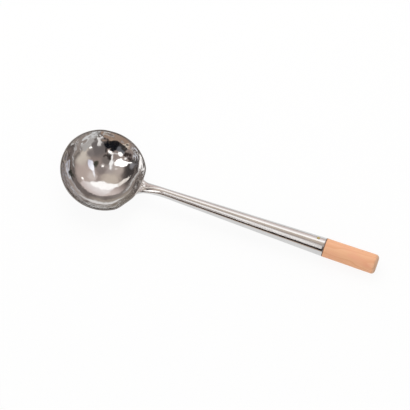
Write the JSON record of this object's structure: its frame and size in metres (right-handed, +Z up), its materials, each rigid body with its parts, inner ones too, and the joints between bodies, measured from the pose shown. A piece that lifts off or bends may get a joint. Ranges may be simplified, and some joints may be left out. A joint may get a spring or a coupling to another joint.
{
  "type": "wok ladle",
  "caption": "Long-handled wok ladle: round polished steel bowl welded to a hollow tapering socket handle, with a pale turned wooden grip nailed into the socket's mouth.",
  "frame": {"origin": "middle of the ladle's box in plan, on the surface that it lies on", "axes": "+X along the handle from bowl to grip, +Z up with the ladle lying at rest on the bowl and the grip's end, +Y across the bowl"},
  "size_m": [0.457, 0.12, 0.0489],
  "materials": {
    "polished_steel": "mirror-polished stainless steel with faint planishing marks",
    "pale_wood": "sanded pale hardwood, bare",
    "brass": "dull brass"
  },
  "bodies": {
    "root": {"bowl": "polished_steel", "shank": "polished_steel", "neck_weld": "polished_steel", "wooden_grip": "pale_wood", "grip_nail": "brass"}
  },
  "joints": []
}
